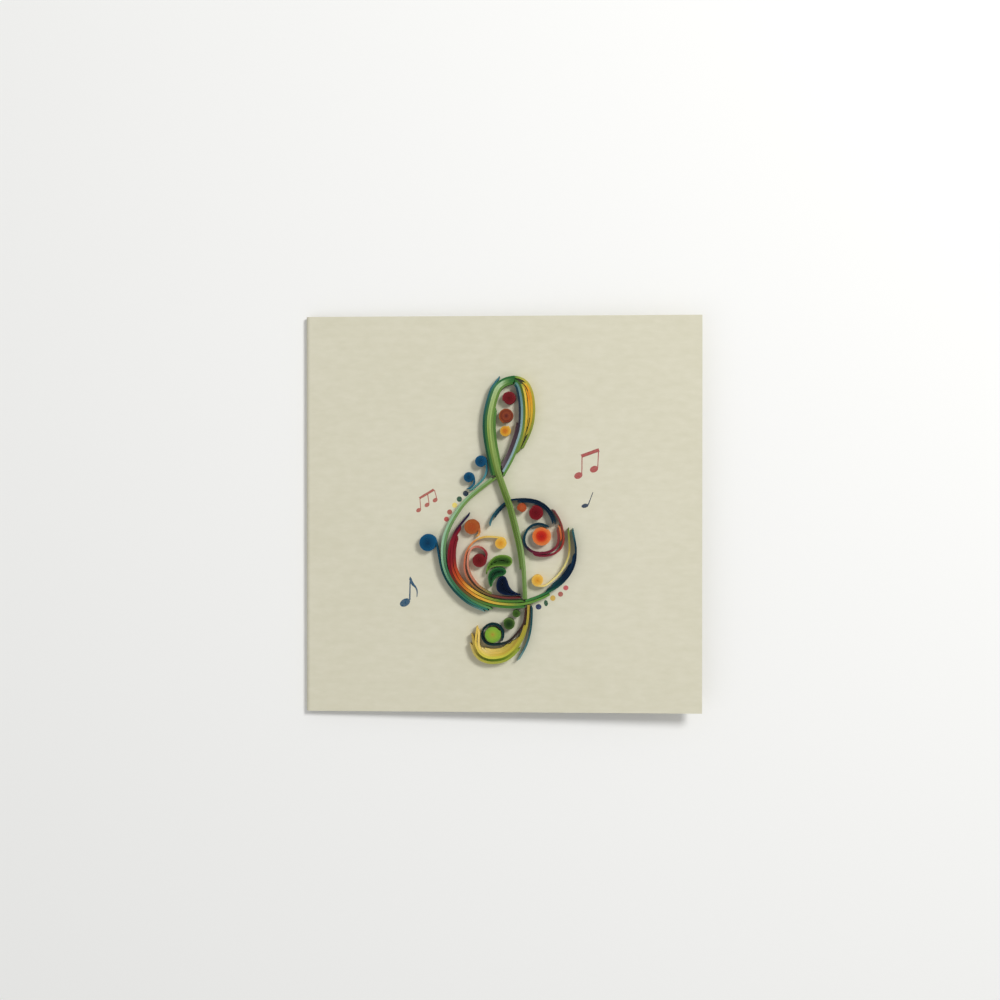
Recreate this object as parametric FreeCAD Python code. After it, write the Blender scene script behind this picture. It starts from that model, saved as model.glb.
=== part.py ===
import FreeCAD, Part
import math
import os

from FreeCAD import Vector

# Quilled treble clef on a folded square card.
# Millimetres. The back leaf lies on the ground plane, the fold is at -X, +Y is up the
# picture and +Z faces the viewer. The origin is the middle of the card's footprint.

# Card
card_side = 150.0
card_thickness = 0.45
fold_inner_radius = 1.1
opening_angle = 2.5          # degrees that the front leaf stands open

# Paper strips, glued on edge to the front leaf
strip_thickness = 0.66
roll_strip_thickness = 0.58
strip_height = 3.0
tucked_gap = 0.12            # air left where the end of a strip leans on its neighbour

# Rolls
roll_gap = 0.12              # air between two turns
roll_eye = 0.5               # radius of the strip's inner end

# The clef is drawn in millimetres about the middle of the front leaf, 110 mm high
drawn_height = 110.0
clef_height = 110.0

# How finely curves are faceted
facet_turn = 9.0             # degrees of turn that one facet may take
facet_bulge = 0.05           # how far one facet may leave the curve
roll_facet = 1.0             # facet of a roll's outer turns
fewest_facets = 9            # of one turn

scale = clef_height / drawn_height
tilt = math.radians(opening_angle)
fold_outer_radius = fold_inner_radius + card_thickness
leaf_length = card_side - fold_outer_radius
fold_centre = Vector(-card_side / 2.0 + fold_outer_radius, 0.0, fold_outer_radius)
leaf_along = Vector(math.cos(tilt), 0.0, math.sin(tilt))
leaf_up = Vector(-math.sin(tilt), 0.0, math.cos(tilt))


# Placing and writing

def on_front_leaf(shape):
    """Moves what was built on the XY plane to the face of the front leaf."""
    start = fold_centre + leaf_up * fold_outer_radius
    middle = start + leaf_along * (card_side / 2.0 - fold_outer_radius)
    shape.Placement = FreeCAD.Placement(middle, FreeCAD.Rotation(Vector(0, 1, 0), -opening_angle))
    return shape


def write(shape, name):
    os.makedirs("parts", exist_ok=True)
    shape.exportStep("parts/" + name + ".step")


# Curves

def placed(points):
    return [Vector(point[0], point[1], point[2] if len(point) > 2 else 0.0) * scale
            for point in points]


def lead_curve(points):
    """A curve through points whose parameter counts them: 0 is the first, 1 the next.

    The third coordinate of each is the air between neighbouring strips there.
    """
    curve = Part.BSplineCurve()
    curve.interpolate(Points=placed(points), Parameters=[float(i) for i in range(len(points))])
    return curve


def fair_curve(points):
    """A curve through points at uneven distances."""
    vectors = placed(points)
    parameters = [0.0]
    for number in range(1, len(vectors)):
        gone = (vectors[number] - vectors[number - 1]).Length
        parameters.append(parameters[-1] + gone ** 0.7)
    curve = Part.BSplineCurve()
    curve.interpolate(Points=vectors, Parameters=parameters)
    return curve


def heading(curve, at):
    direction = curve.tangent(at)[0]
    flat = Vector(direction.x, direction.y, 0.0)
    return flat.normalize()


def stations(curve, first, last):
    """Places along a curve, close enough for straight facets between them."""
    samples = max(12, int(curve.length(first, last) / 0.25))
    step = (last - first) / samples
    before = curve.value(first)
    way = heading(curve, first)
    chosen = [Vector(before.x, before.y, 0.0)]
    turned = 0.0
    for count in range(1, samples):
        at = first + count * step
        place = curve.value(at)
        now = heading(curve, at)
        turned += math.degrees(way.getAngle(now))
        way = now
        flat = Vector(place.x, place.y, 0.0)
        bulge = (flat - chosen[-1]).Length * math.radians(turned) / 8.0
        if turned >= facet_turn or bulge >= facet_bulge:
            chosen.append(flat)
            turned = 0.0
    end = curve.value(last)
    end = Vector(end.x, end.y, 0.0)
    if len(chosen) > 1 and (end - chosen[-1]).Length < strip_thickness:
        chosen.pop()
    chosen.append(end)
    return chosen


def beside(lead, rank, first, last, tuck_first=0, tuck_last=0):
    """Points of the strip that runs rank places to the left of a lead curve.

    A tuck of +1 or -1 leans that end of the strip onto its neighbour on the left or
    right.
    """
    tuck_length = 1.0
    steps = max(2, round((last - first) / 0.5))
    points = []
    for count in range(steps + 1):
        at = first + (last - first) * count / steps
        place = lead.value(at)
        way = heading(lead, at)
        pitch = strip_thickness + place.z
        offset = rank * pitch
        for side, gone in ((tuck_first, at - first), (tuck_last, last - at)):
            if side and gone < tuck_length:
                ease = 0.5 + 0.5 * math.cos(math.pi * gone / tuck_length)
                offset += side * (place.z - tucked_gap) * ease
        left = Vector(-way.y, way.x, 0.0)
        spot = Vector(place.x, place.y, 0.0) + left * offset
        points.append((spot.x / scale, spot.y / scale))
    return points


# Paper

def ribbon(path, thickness=strip_thickness):
    """A strip standing on edge along a path of places, cut square at both ends."""
    half = thickness / 2.0
    left_side = []
    right_side = []
    for number, place in enumerate(path):
        after = path[number + 1] - place if number + 1 < len(path) else None
        before = place - path[number - 1] if number else None
        ways = [way.normalize() for way in (before, after) if way is not None]
        mean = ways[0] + ways[-1]
        mean.normalize()
        reach = half / max(0.5, mean.dot(ways[0]))
        across = Vector(-mean.y, mean.x, 0.0) * reach
        left_side.append(place + across)
        right_side.append(place - across)
    outline = left_side + right_side[::-1]
    face = Part.Face(Part.makePolygon(outline + outline[:1]))
    return face.extrude(Vector(0.0, 0.0, strip_height))


def strip(name, points):
    """A strip on edge along a smooth curve through the points."""
    curve = fair_curve(points)
    write(on_front_leaf(ribbon(stations(curve, curve.FirstParameter, curve.LastParameter))), name)


def roll_turns(centre, radius, leaves_at, way_round):
    """Places along a rolled strip, from its eye to where it leaves the roll.

    leaves_at is the angle in degrees, way_round is +1 where the strip runs out
    anticlockwise and -1 where it runs out clockwise.
    """
    pitch = roll_strip_thickness + roll_gap
    outer = radius * scale - roll_strip_thickness / 2.0
    turns = (outer - roll_eye) / pitch
    angle = 0.0
    places = []
    while True:
        reach = outer - pitch * angle / 360.0
        direction = math.radians(leaves_at - way_round * angle)
        places.append(Vector(centre[0] * scale + reach * math.cos(direction),
                             centre[1] * scale + reach * math.sin(direction), 0.0))
        if angle >= 360.0 * turns:
            return places[::-1]
        facets = max(fewest_facets, round(2.0 * math.pi * reach / roll_facet))
        angle = min(360.0 * turns, angle + 360.0 / facets)


def roll(name, centre, radius, leaves_at=0.0, way_round=1, tail=()):
    """A coil, with the rest of its strip as a tail where it has one."""
    path = roll_turns(centre, radius, leaves_at, way_round)
    if tail:
        lead_in = [(place.x / scale, place.y / scale) for place in path[-3:]]
        curve = fair_curve(lead_in + list(tail))
        path += stations(curve, curve.parameter(path[-1]), curve.LastParameter)[1:]
    write(on_front_leaf(ribbon(path, roll_strip_thickness)), name)


def teardrop(name, outline, centre, radius, leaves_at, landing):
    """A roll in a loop of the same strip, pinched where the outline starts and ends."""
    curve = fair_curve(outline + outline[:1])
    around = stations(curve, curve.FirstParameter, curve.LastParameter)
    rim = Part.makePolygon(around[:-1] + around[:1])
    hollow = rim.makeOffset2D(-roll_strip_thickness, 2, False, False, False)
    outside = Part.Face(rim).extrude(Vector(0.0, 0.0, strip_height))
    inside = Part.Face(hollow).extrude(Vector(0.0, 0.0, strip_height))
    path = roll_turns(centre, radius, leaves_at, 1)
    path.append(Vector(landing[0] * scale, landing[1] * scale, 0.0))
    loop = outside.cut(inside).fuse(ribbon(path, roll_strip_thickness)).removeSplitter()
    write(on_front_leaf(loop.Solids[0]), name)


# The card: one sheet, creased once

def card():
    """Section across the fold: back leaf, round crease, front leaf standing open."""
    crease = fold_centre
    back_edge = card_side / 2.0
    low = Vector(crease.x, 0.0, 0.0)
    low_inner = Vector(crease.x, 0.0, card_thickness)
    far_round = Vector(crease.x - fold_outer_radius, 0.0, crease.z)
    far_inner = Vector(crease.x - fold_inner_radius, 0.0, crease.z)
    high = crease + leaf_up * fold_outer_radius
    high_inner = crease + leaf_up * fold_inner_radius
    free = high + leaf_along * leaf_length
    free_inner = high_inner + leaf_along * leaf_length
    edges = [
        Part.LineSegment(Vector(back_edge, 0.0, 0.0), low).toShape(),
        Part.Arc(low, far_round, high).toShape(),
        Part.LineSegment(high, free).toShape(),
        Part.LineSegment(free, free_inner).toShape(),
        Part.LineSegment(free_inner, high_inner).toShape(),
        Part.Arc(high_inner, far_inner, low_inner).toShape(),
        Part.LineSegment(low_inner, Vector(back_edge, 0.0, card_thickness)).toShape(),
        Part.LineSegment(Vector(back_edge, 0.0, card_thickness),
                         Vector(back_edge, 0.0, 0.0)).toShape(),
    ]
    section = Part.Face(Part.Wire(edges))
    section.translate(Vector(0.0, -card_side / 2.0, 0.0))
    write(section.extrude(Vector(0.0, card_side, 0.0)), "folded_card")


# The stem, which opens into the left side of the top loop and arches over it

def stem_and_loop():
    lead = lead_curve([
        (6.4, 49.9, 0.14), (3.2, 50.05, 0.14), (0.2, 48.95, 0.14), (-2.0, 46.6, 0.14),
        (-3.4, 42.6, 0.14), (-4.4, 38.2, 0.16), (-4.75, 34.0, 0.17), (-4.5, 29.5, 0.17),
        (-3.85, 25.0, 0.14), (-2.9, 20.5, 0.13), (-1.9, 16.2, 0.13), (-0.5, 12.0, 0.17),
        (0.95, 7.9, 0.2), (2.5, 3.7, 0.2), (3.65, -0.6, 0.2), (4.75, -4.9, 0.2),
        (5.85, -9.2, 0.2), (6.75, -13.4, 0.18), (7.3, -17.7, 0.16), (7.65, -22.1, 0.14),
        (7.85, -26.5, 0.13), (8.05, -31.6, 0.13)])
    strip("loop_teal_strip",
          [(-0.95, 51.75), (-1.95, 50.65)] + beside(lead, -3, 2.55, 10.1))
    strip("loop_dark_green_strip", beside(lead, -2, 0.66, 10.2))
    strip("stem_olive_strip", beside(lead, -1, 0.66, 18.7, tuck_last=1))
    strip("stem_light_green_strip", beside(lead, 0, 0.7, 21.0))
    strip("stem_green_strip", beside(lead, 1, 0.9, 21.0))
    strip("loop_inner_olive_strip", beside(lead, 2, 4.5, 9.8, tuck_first=-1))


def loop_right_side():
    inner = lead_curve([
        (5.0, 50.3, 0.13), (6.5, 48.7, 0.13), (7.4, 46.2, 0.18), (7.95, 43.2, 0.2),
        (8.2, 40.0, 0.2), (8.2, 36.6, 0.2), (7.9, 33.0, 0.18), (7.15, 29.6, 0.17),
        (6.0, 26.3, 0.15), (4.8, 23.2, 0.13), (3.5, 20.3, 0.13), (2.0, 17.6, 0.13),
        (0.3, 14.6, 0.13)])
    outer = lead_curve([
        (4.9, 51.65, 0.13), (7.1, 51.1, 0.13), (9.0, 49.8, 0.15), (10.4, 47.8, 0.18),
        (11.35, 45.1, 0.2), (11.8, 42.0, 0.22), (11.9, 38.8, 0.22), (11.65, 35.7, 0.2),
        (10.95, 32.6, 0.18), (9.8, 29.6, 0.16), (8.4, 26.7, 0.14), (6.8, 23.9, 0.13)])
    strip("loop_maroon_strip", beside(inner, -3, 5.6, 11.1, tuck_first=1))
    strip("loop_navy_strip", beside(inner, -2, 0.5, 11.3))
    strip("loop_grey_blue_strip", beside(inner, -1, 0.2, 11.6))
    strip("loop_moss_strip", beside(inner, 0, 0.0, 11.9))
    strip("loop_yellow_strip", beside(inner, 1, 0.95, 9.0, tuck_last=-1))
    strip("loop_orange_strip", beside(outer, -2, 3.1, 7.2))
    strip("loop_gold_strip", beside(outer, -1, 1.5, 9.2, tuck_last=1))
    strip("loop_lime_strip", beside(outer, 0, 0.0, 10.8))


def loop_rolls():
    roll("loop_crimson_roll", (2.5, 43.7), 2.7, 200.0)
    roll("loop_brown_roll", (1.4, 37.05), 2.95, 250.0)
    roll("loop_amber_roll", (0.95, 31.4), 2.25, 60.0)


# Left bowl

def left_bowl():
    lead = lead_curve([
        (-2.7, 13.6, 0.17), (-6.2, 10.9, 0.17), (-9.8, 8.2, 0.17), (-13.1, 5.3, 0.17),
        (-16.0, 1.9, 0.17), (-18.5, -2.0, 0.2), (-20.5, -6.1, 0.22), (-21.7, -10.4, 0.24),
        (-22.0, -14.8, 0.27), (-21.5, -19.2, 0.3), (-20.0, -23.3, 0.27),
        (-17.6, -27.0, 0.24), (-14.6, -30.1, 0.24), (-11.0, -32.7, 0.24),
        (-7.2, -34.5, 0.17), (-3.4, -35.6, 0.14)])
    strip("bowl_mint_strip", beside(lead, -1, 0.3, 14.6))
    strip("bowl_green_strip", beside(lead, 0, 0.0, 14.9))
    roll("bowl_blue_roll", (-28.2, -10.8), 3.5, 0.0, -1,
         [(-24.6, -13.2), (-24.05, -15.6)] + beside(lead, -2, 8.9, 14.3))

    strip("bowl_crimson_outer_strip",
          [(-12.3, 0.4), (-14.3, -1.8), (-16.2, -4.1), (-17.9, -6.7), (-19.2, -9.5),
           (-20.0, -12.4), (-20.4, -15.4), (-20.3, -18.5)]
          + beside(lead, 1, 10.0, 13.0)
          + [(-7.4, -33.35), (-4.4, -34.2), (-1.4, -34.75), (1.7, -35.0), (5.0, -35.0),
             (8.0, -34.7)])
    strip("bowl_crimson_middle_strip",
          [(-15.6, -4.7), (-17.3, -7.3), (-18.5, -10.0), (-19.1, -12.9), (-19.3, -15.8),
           (-19.2, -18.8), (-18.4, -21.9), (-17.0, -24.6), (-15.0, -27.0), (-12.6, -29.1),
           (-9.9, -30.9), (-7.0, -32.2), (-3.8, -33.2), (-0.4, -33.75), (3.2, -34.0),
           (6.6, -33.9), (9.8, -33.35), (12.8, -32.4), (15.3, -31.3), (17.4, -30.2)])
    strip("bowl_crimson_inner_strip",
          [(-16.85, -8.4), (-17.8, -11.2), (-18.2, -14.1), (-18.2, -17.0), (-17.9, -19.7),
           (-17.0, -22.3), (-15.6, -24.7), (-13.7, -26.8), (-11.4, -28.6), (-8.7, -30.2),
           (-5.7, -31.5), (-2.4, -32.4), (1.2, -32.8), (4.8, -32.85), (8.2, -32.5)])


def left_bowl_rolls():
    roll("upper_blue_roll", (-8.25, 19.9), 2.4, -10.0, -1,
         [(-6.0, 17.4), (-6.3, 15.3), (-7.3, 13.3), (-8.8, 11.7), (-10.6, 10.2), (-12.4, 8.8)])
    roll("lower_blue_roll", (-12.75, 13.9), 2.15, -5.0, -1,
         [(-10.75, 12.1), (-11.3, 10.9), (-12.3, 10.0), (-13.4, 9.4)])
    roll("bowl_orange_roll", (-11.6, -4.8), 3.1, -10.0, -1,
         [(-8.75, -6.6), (-9.2, -7.8), (-10.0, -8.6)])
    roll("bowl_yellow_roll", (-0.8, -10.9), 2.4, 92.0, 1,
         [(-3.2, -8.5), (-5.6, -8.4), (-8.0, -8.8), (-10.4, -9.9), (-12.2, -11.7),
          (-13.5, -13.9), (-14.2, -16.4), (-14.45, -18.9), (-14.25, -21.4), (-13.4, -23.8),
          (-12.0, -25.9), (-10.2, -27.7), (-8.0, -29.1), (-5.5, -30.2), (-2.8, -30.95),
          (0.2, -31.35), (3.5, -31.45), (6.9, -31.15)])
    roll("bowl_crimson_roll", (-8.8, -17.3), 2.8, 5.0, 1,
         [(-6.05, -15.2), (-6.8, -13.6), (-8.3, -12.5), (-10.1, -12.2), (-11.6, -12.9),
          (-12.65, -14.4), (-13.1, -16.3), (-13.25, -18.3), (-13.0, -20.4), (-12.3, -22.5),
          (-11.2, -24.5), (-9.7, -26.4), (-7.9, -27.9), (-5.9, -29.1), (-4.0, -29.75)])


def leaves():
    """Three pinched rolls that hang in the left bowl beside the stem."""
    teardrop("green_teardrop",
             [(-6.3, -22.9), (-5.45, -21.2), (-3.9, -19.95), (-1.7, -19.45), (0.7, -19.6),
              (2.7, -19.4), (3.6, -18.0), (3.1, -16.4), (1.3, -15.5), (-1.1, -15.4),
              (-3.3, -16.2), (-5.0, -17.9), (-6.0, -20.3)],
             (1.5, -17.5), 1.25, 0.0, (3.3, -17.2))
    teardrop("dark_green_teardrop",
             [(-4.3, -27.9), (-3.75, -25.9), (-2.85, -24.3), (-1.4, -23.3), (0.5, -22.9),
              (1.35, -21.8), (0.6, -20.45), (-1.3, -19.95), (-3.3, -20.4), (-4.8, -21.7),
              (-5.45, -23.5), (-5.2, -25.8)],
             (-2.3, -21.7), 1.15, 300.0, (-1.2, -23.2))
    teardrop("navy_teardrop",
             [(6.9, -30.25), (4.5, -30.45), (2.0, -30.5), (-0.3, -30.0), (-1.9, -28.8),
              (-2.4, -27.0), (-2.0, -25.0), (-0.9, -23.6), (0.6, -23.4), (1.6, -24.7),
              (2.2, -26.7), (3.3, -28.5), (5.0, -29.6)],
             (-0.05, -27.3), 1.65, 0.0, (2.1, -26.9))


# Upper right: the arc across the stem, the ring round the red roll, and its outer strips

def arc_and_ring():
    tail = lead_curve([
        (-5.0, -4.4, 0.13), (-4.5, -2.4, 0.13), (-3.5, -0.4, 0.13), (-2.1, 1.6, 0.13),
        (-0.5, 3.2, 0.13), (0.8, 4.2, 0.13)])
    strip("arc_tail_strip", beside(tail, 0, 0.0, 5.0))
    strip("arc_tail_inner_strip", beside(tail, -1, 1.8, 4.7, tuck_first=1))
    lead = lead_curve([
        (3.4, 5.45, 0.17), (6.2, 5.75, 0.17), (9.1, 5.75, 0.22), (12.0, 5.3, 0.22),
        (14.7, 4.2, 0.22), (16.9, 2.5, 0.22), (18.5, 0.4, 0.22), (19.5, -1.8, 0.22),
        (20.0, -3.7, 0.22)])
    strip("arc_navy_strip", beside(lead, 0, 0.0, 8.0))
    strip("arc_inner_strip", beside(lead, -1, 0.7, 7.8))
    strip("ring_teal_strip",
          [(17.3, -5.0), (15.5, -3.95), (13.3, -3.6), (11.1, -4.2), (9.4, -5.7), (8.4, -7.7),
           (8.05, -9.9), (8.8, -12.1), (10.5, -13.7), (12.8, -14.5), (15.3, -14.6),
           (17.6, -14.1), (19.5, -13.0), (20.7, -11.3), (21.05, -9.2), (20.9, -7.0),
           (20.4, -5.1)])
    strip("arc_maroon_strip",
          [(18.8, 2.1), (20.1, 0.3), (21.3, -1.8), (22.2, -4.1), (22.8, -6.6), (23.0, -9.1),
           (22.5, -11.6), (21.1, -13.6), (18.9, -15.0), (16.2, -15.65), (13.5, -15.55),
           (11.2, -14.9)])
    strip("arc_orange_strip", [(21.2, -3.9), (21.75, -6.0), (22.0, -8.1), (22.0, -10.2)])
    roll("ring_red_roll", (14.6, -8.2), 3.75, 45.0)
    roll("arc_crimson_roll", (12.5, 0.55), 2.95, 120.0)
    roll("arc_orange_roll", (7.3, 2.45), 1.95, 210.0)


# Right bowl

def right_bowl():
    lead = lead_curve([
        (8.85, -32.6, 0.17), (11.8, -31.65, 0.17), (14.8, -30.4, 0.17), (17.7, -29.0, 0.17),
        (20.5, -27.4, 0.17), (23.0, -25.3, 0.17), (25.1, -22.8, 0.17), (26.6, -20.0, 0.17),
        (27.4, -17.0, 0.17), (27.6, -13.8, 0.17), (27.3, -10.6, 0.17), (26.7, -7.9, 0.17),
        (26.2, -5.3, 0.17)])
    strip("bowl_navy_outer_strip", beside(lead, 0, 0.0, 12.0))
    strip("bowl_navy_middle_strip", beside(lead, 1, 2.6, 8.7, tuck_last=-1))
    strip("bowl_navy_inner_strip", beside(lead, 2, 3.5, 7.4, tuck_first=-1, tuck_last=-1))
    roll("bowl_small_yellow_roll", (13.2, -24.8), 2.4, -85.0, 1,
         [(15.5, -26.95), (17.6, -25.8), (19.6, -24.2), (21.4, -22.3), (22.9, -20.2),
          (24.1, -17.9), (24.9, -15.3), (25.2, -12.6), (25.1, -10.0), (24.8, -7.4),
          (24.7, -5.0)])


# Hook below the bowls

def hook():
    ball = (-3.7, -45.3)
    ring_radius = 4.0
    ring = [(ball[0] + ring_radius * math.cos(math.radians(angle)),
             ball[1] + ring_radius * math.sin(math.radians(angle)))
            for angle in range(-35, 271, 34)]
    roll("hook_lime_roll", ball, 3.25, 30.0)
    strip("hook_ring_strip",
          ring + [(-0.7, -48.95), (2.3, -47.9), (4.5, -46.05), (6.25, -43.95), (7.65, -41.7),
                  (8.4, -39.0), (8.7, -35.7)])
    lead = lead_curve([
        (-11.4, -44.9, 0.17), (-11.2, -47.3, 0.2), (-10.7, -49.9, 0.24), (-9.6, -52.3, 0.28),
        (-7.7, -54.0, 0.28), (-5.2, -54.9, 0.28), (-2.5, -54.95, 0.28), (0.3, -54.35, 0.26),
        (2.7, -53.0, 0.22), (4.8, -51.1, 0.2), (6.5, -48.7, 0.17), (7.8, -46.1, 0.14),
        (8.8, -43.3, 0.13), (9.4, -40.4, 0.13), (9.7, -37.3, 0.13), (9.75, -34.4, 0.13)])
    strip("hook_pale_olive_strip", beside(lead, -1, 1.4, 9.6, tuck_last=1))
    strip("hook_olive_strip", beside(lead, 0, 0.0, 15.0))
    strip("hook_yellow_strip", [(-9.3, -42.2), (-9.8, -44.6)] + beside(lead, 1, 1.5, 12.4))
    strip("hook_gold_strip", [(-8.8, -43.3), (-8.9, -45.6)] + beside(lead, 2, 2.0, 10.8))
    strip("hook_tan_strip", beside(lead, 3, 2.5, 10.2))
    strip("hook_cream_strip", beside(lead, 4, 3.0, 9.2, tuck_last=-1))
    strip("hook_teal_tail_strip",
          [(11.0, -34.4), (11.05, -37.5), (10.95, -40.5), (10.6, -43.5), (9.95, -46.4),
           (9.0, -49.2), (7.7, -51.8), (6.5, -53.7), (5.7, -55.2)])
    roll("hook_small_green_roll", (5.1, -37.25), 1.65, 20.0)
    roll("hook_large_green_roll", (2.4, -41.3), 2.4, 160.0)


card()
stem_and_loop()
loop_right_side()
loop_rolls()
left_bowl()
left_bowl_rolls()
leaves()
arc_and_ring()
right_bowl()
hook()
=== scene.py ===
import bpy
import math
from mathutils import Matrix, Vector


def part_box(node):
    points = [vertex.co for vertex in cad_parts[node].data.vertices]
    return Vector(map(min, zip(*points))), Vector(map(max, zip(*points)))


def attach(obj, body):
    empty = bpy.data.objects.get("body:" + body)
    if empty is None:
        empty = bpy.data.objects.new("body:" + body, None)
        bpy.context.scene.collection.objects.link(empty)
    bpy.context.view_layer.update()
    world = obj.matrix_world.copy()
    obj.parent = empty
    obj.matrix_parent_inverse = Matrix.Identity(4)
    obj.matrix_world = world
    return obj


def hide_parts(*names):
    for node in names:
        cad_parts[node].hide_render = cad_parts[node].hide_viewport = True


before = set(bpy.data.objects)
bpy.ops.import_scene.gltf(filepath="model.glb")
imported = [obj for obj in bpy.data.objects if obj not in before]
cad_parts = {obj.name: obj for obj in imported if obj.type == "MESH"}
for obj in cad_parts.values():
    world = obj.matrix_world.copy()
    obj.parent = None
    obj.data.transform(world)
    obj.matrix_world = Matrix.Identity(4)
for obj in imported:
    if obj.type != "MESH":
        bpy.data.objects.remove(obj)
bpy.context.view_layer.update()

# The card: a square of cream card stock, creased once, its front leaf standing a little
# open. The stock was pressed between felts, which left faint streaks across it and a
# soft tooth that takes the light.

MM = 0.001


def linear(hex_colour):
    """An sRGB hex value as a linear RGBA."""
    parts = [int(hex_colour[i:i + 2], 16) / 255.0 for i in (1, 3, 5)]
    return tuple(c / 12.92 if c <= 0.04045 else ((c + 0.055) / 1.055) ** 2.4
                 for c in parts) + (1.0,)


def new_material(name):
    """A material with an empty node tree."""
    material = bpy.data.materials.new(name)
    material.use_nodes = True
    material.node_tree.nodes.clear()
    return material


def add(material, kind, settings=None, inputs=None):
    """Adds a node. An input is a value, or a linked output of another node."""
    tree = material.node_tree
    node = tree.nodes.new(kind)
    for key, value in (settings or {}).items():
        setattr(node, key, value)
    for key, value in (inputs or {}).items():
        socket = node.inputs[key]
        if isinstance(value, bpy.types.NodeSocket):
            tree.links.new(value, socket)
        else:
            socket.default_value = value
    return node


def output(material, shader):
    """Ends the material in this shader."""
    add(material, "ShaderNodeOutputMaterial", inputs={"Surface": shader.outputs[0]})
    return material


def ramp(material, factor, stops):
    """A colour that changes with factor, through pairs of a position and a hex value."""
    node = add(material, "ShaderNodeValToRGB", inputs={"Fac": factor})
    elements = node.color_ramp.elements
    while len(elements) > 1:
        elements.remove(elements[-1])
    elements[0].position = stops[0][0]
    elements[0].color = linear(stops[0][1])
    for position, colour in stops[1:]:
        elements.new(position).color = linear(colour)
    return node.outputs["Color"]


CARD_CREAM = "#D6D2BC"
CARD_SHADE = "#D3CFB8"
CARD_LIGHT = "#D9D5C0"
FELT_STREAK_MM = 1.3          # width of one streak, which runs two or three times as long
STREAK_SQUEEZE = (0.4, 1.0, 1.0)  # the pattern's scale along X, Y and Z
CLOUDS_PER_METRE = 28.0       # faint cloudy patches, about 36 mm across
FELT_TOOTH_MM = 0.55
TOOTH_RELIEF = 0.12
CARD_ROUGHNESS = 0.9


def felt_marked_card():
    """Uncoated card stock: matte, cream, streaked along X, with a fine tooth."""
    card = new_material("felt_marked_card")
    where = add(card, "ShaderNodeTexCoord").outputs["Object"]
    drawn_out = add(card, "ShaderNodeMapping", inputs={
        "Vector": where, "Scale": STREAK_SQUEEZE}).outputs["Vector"]
    streaks = add(card, "ShaderNodeTexNoise", inputs={
        "Vector": drawn_out, "Scale": 0.6 / (FELT_STREAK_MM * MM), "Detail": 4.0,
        "Roughness": 0.55}).outputs["Fac"]
    clouds = add(card, "ShaderNodeTexNoise", inputs={
        "Vector": where, "Scale": CLOUDS_PER_METRE, "Detail": 2.0}).outputs["Fac"]
    both = add(card, "ShaderNodeMath", {"operation": "MULTIPLY_ADD"},
               {0: clouds, 1: 0.35, 2: streaks}).outputs[0]
    colour = ramp(card, both, [(0.45, CARD_SHADE), (0.68, CARD_CREAM), (0.9, CARD_LIGHT)])
    tooth = add(card, "ShaderNodeTexNoise", inputs={
        "Vector": where, "Scale": 1.0 / (FELT_TOOTH_MM * MM), "Detail": 3.0}).outputs["Fac"]
    relief = add(card, "ShaderNodeMath", {"operation": "MULTIPLY_ADD"},
                 {0: streaks, 1: 0.5, 2: tooth}).outputs[0]
    bump = add(card, "ShaderNodeBump", inputs={
        "Height": relief, "Strength": TOOTH_RELIEF,
        "Distance": 0.05 * MM}).outputs["Normal"]
    return output(card, add(card, "ShaderNodeBsdfPrincipled", inputs={
        "Base Color": colour, "Roughness": CARD_ROUGHNESS, "Specular IOR Level": 0.25,
        "Normal": bump}))


def dress(node_name, material):
    """Gives a CAD node its material in place of the plain one."""
    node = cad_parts[node_name]
    node.data.materials.clear()
    node.data.materials.append(material)


dress("folded_card", felt_marked_card())

# The front leaf's face, read from the card: everything on it is laid out flat, in
# millimetres about the middle of the leaf, and then placed on the leaf.

FOLD_REACH = 0.02             # share of the card's side that lies by its crease
card_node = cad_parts["folded_card"]
card_low, card_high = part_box("folded_card")
card_side = card_high.x - card_low.x
card_points = [v.co for v in card_node.data.vertices]
free_edge = max((p for p in card_points if p.z > card_high.z / 2),
                key=lambda p: (round(p.z, 6), p.x))
fold_top = max((p for p in card_points if p.x < card_low.x + FOLD_REACH * card_side),
               key=lambda p: p.z)
leaf_tilt = math.atan2(free_edge.z - fold_top.z, free_edge.x - fold_top.x)
leaf_middle = Vector((free_edge.x, 0.0, free_edge.z)) - (card_side / 2) * Vector(
    (math.cos(leaf_tilt), 0.0, math.sin(leaf_tilt)))
leaf_place = Matrix.Translation(leaf_middle) @ Matrix.Rotation(-leaf_tilt, 4, "Y")
leaf_flat = leaf_place.inverted()


def on_leaf(piece):
    """Puts a flat-laid piece on the leaf, with its place in its mesh."""
    piece.data.transform(leaf_place)
    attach(piece, "root")


# The strips: coloured quilling paper, glued side by side into bands and stood on edge.
# Each band is three papers thick. One edge of each paper shows; their ends are
# staggered a little, and their edges stand at slightly different heights.

STRIP_PAPERS = 3
PAPER_FIBRE_MM = 0.35
PAPER_FLECK = 0.06
PAPER_ROUGHNESS = 0.86


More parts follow.
